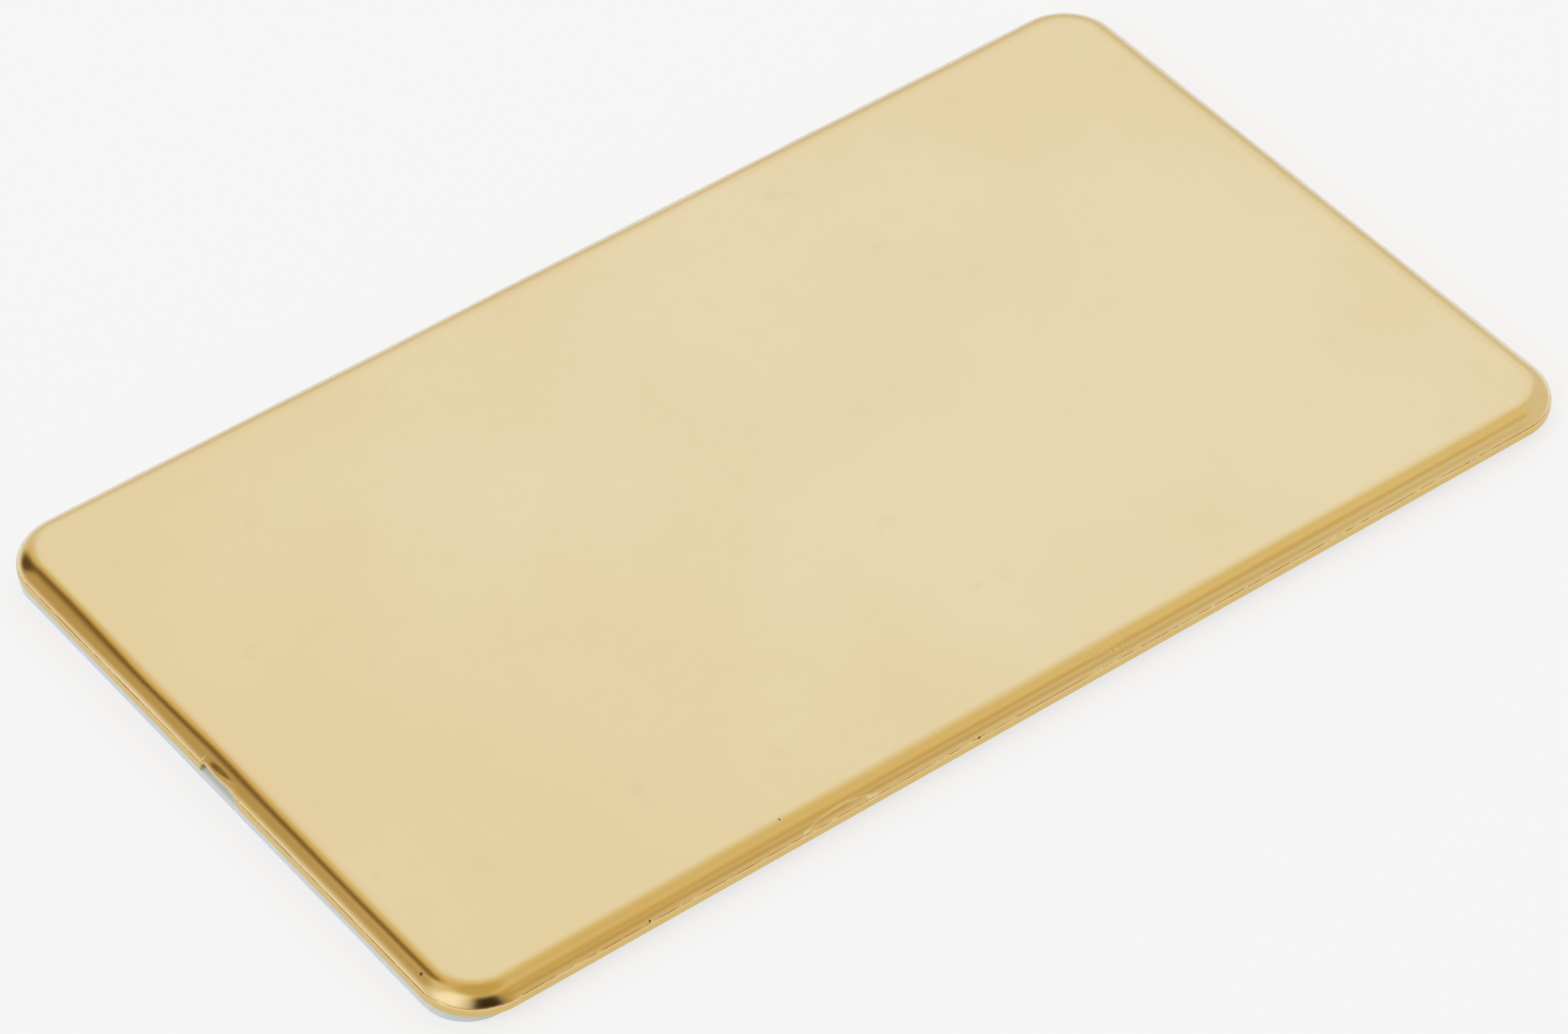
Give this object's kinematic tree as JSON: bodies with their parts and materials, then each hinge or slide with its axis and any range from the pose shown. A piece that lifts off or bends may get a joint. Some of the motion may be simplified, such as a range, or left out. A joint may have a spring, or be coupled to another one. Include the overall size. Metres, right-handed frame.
{
  "type": "blanking plate",
  "caption": "Screwless wall plate: a polished brass front with rolled edges that clips over a clear base and steel frame, and closes an unused double back box.",
  "frame": {"origin": "middle of the plate, on the wall plane that its base lies against", "axes": "+X along the plate's length, away from the pry notch; +Y across it; +Z out of the wall, towards the brass face"},
  "size_m": [0.146, 0.086, 0.0218],
  "materials": {
    "polished_brass": "polished and lacquered",
    "clear_film": "clear peel-off film",
    "clear_plastic": "clear moulded polycarbonate",
    "zinc_plated_steel": "bright zinc plate",
    "spring_steel": "cold-rolled stainless",
    "rivet_steel": "plain",
    "screw_steel": "bright nickel plate",
    "terminal_brass": "machined",
    "nylon": "natural",
    "black_foam": "closed-cell foam"
  },
  "bodies": {
    "base": {"clear_base": "clear_plastic", "fixing_frame": "zinc_plated_steel", "spring_clip_front_1": "spring_steel", "spring_clip_front_2": "spring_steel", "spring_clip_front_3": "spring_steel", "spring_clip_back_1": "spring_steel", "spring_clip_back_2": "spring_steel", "spring_clip_back_3": "spring_steel", "spring_clip_left_1": "spring_steel", "spring_clip_left_2": "spring_steel", "spring_clip_right_1": "spring_steel", "spring_clip_right_2": "spring_steel", "clip_rivets": "rivet_steel", "peg_washers": "spring_steel", "earth_block": "terminal_brass", "screw_retainer_left": "nylon", "screw_retainer_right": "nylon", "foam_pad_1": "black_foam", "foam_pad_2": "black_foam", "foam_pad_3": "black_foam", "foam_pad_4": "black_foam"},
    "cover": {"front_plate": "polished_brass", "protective_film": "clear_film"},
    "left_screw": {"fixing_screw_left": "screw_steel"},
    "right_screw": {"fixing_screw_right": "screw_steel"},
    "clamp_screw": {"earth_screw": "screw_steel"}
  },
  "joints": [
    {"name": "cover_lift", "type": "slide", "parent": "base", "child": "cover", "axis": [0, 0, 1], "range_m": [0, 0.025]},
    {"name": "left_screw_turn", "type": "hinge", "parent": "base", "child": "left_screw", "pos_m": [-0.0603, 0, 0], "axis": [0, 0, 1], "continuous": true},
    {"name": "right_screw_turn", "type": "hinge", "parent": "base", "child": "right_screw", "pos_m": [0.0603, 0, 0], "axis": [0, 0, 1], "continuous": true},
    {"name": "clamp_screw_turn", "type": "hinge", "parent": "base", "child": "clamp_screw", "pos_m": [0, 0, -0.008], "axis": [0, 0, 1], "continuous": true}
  ]
}
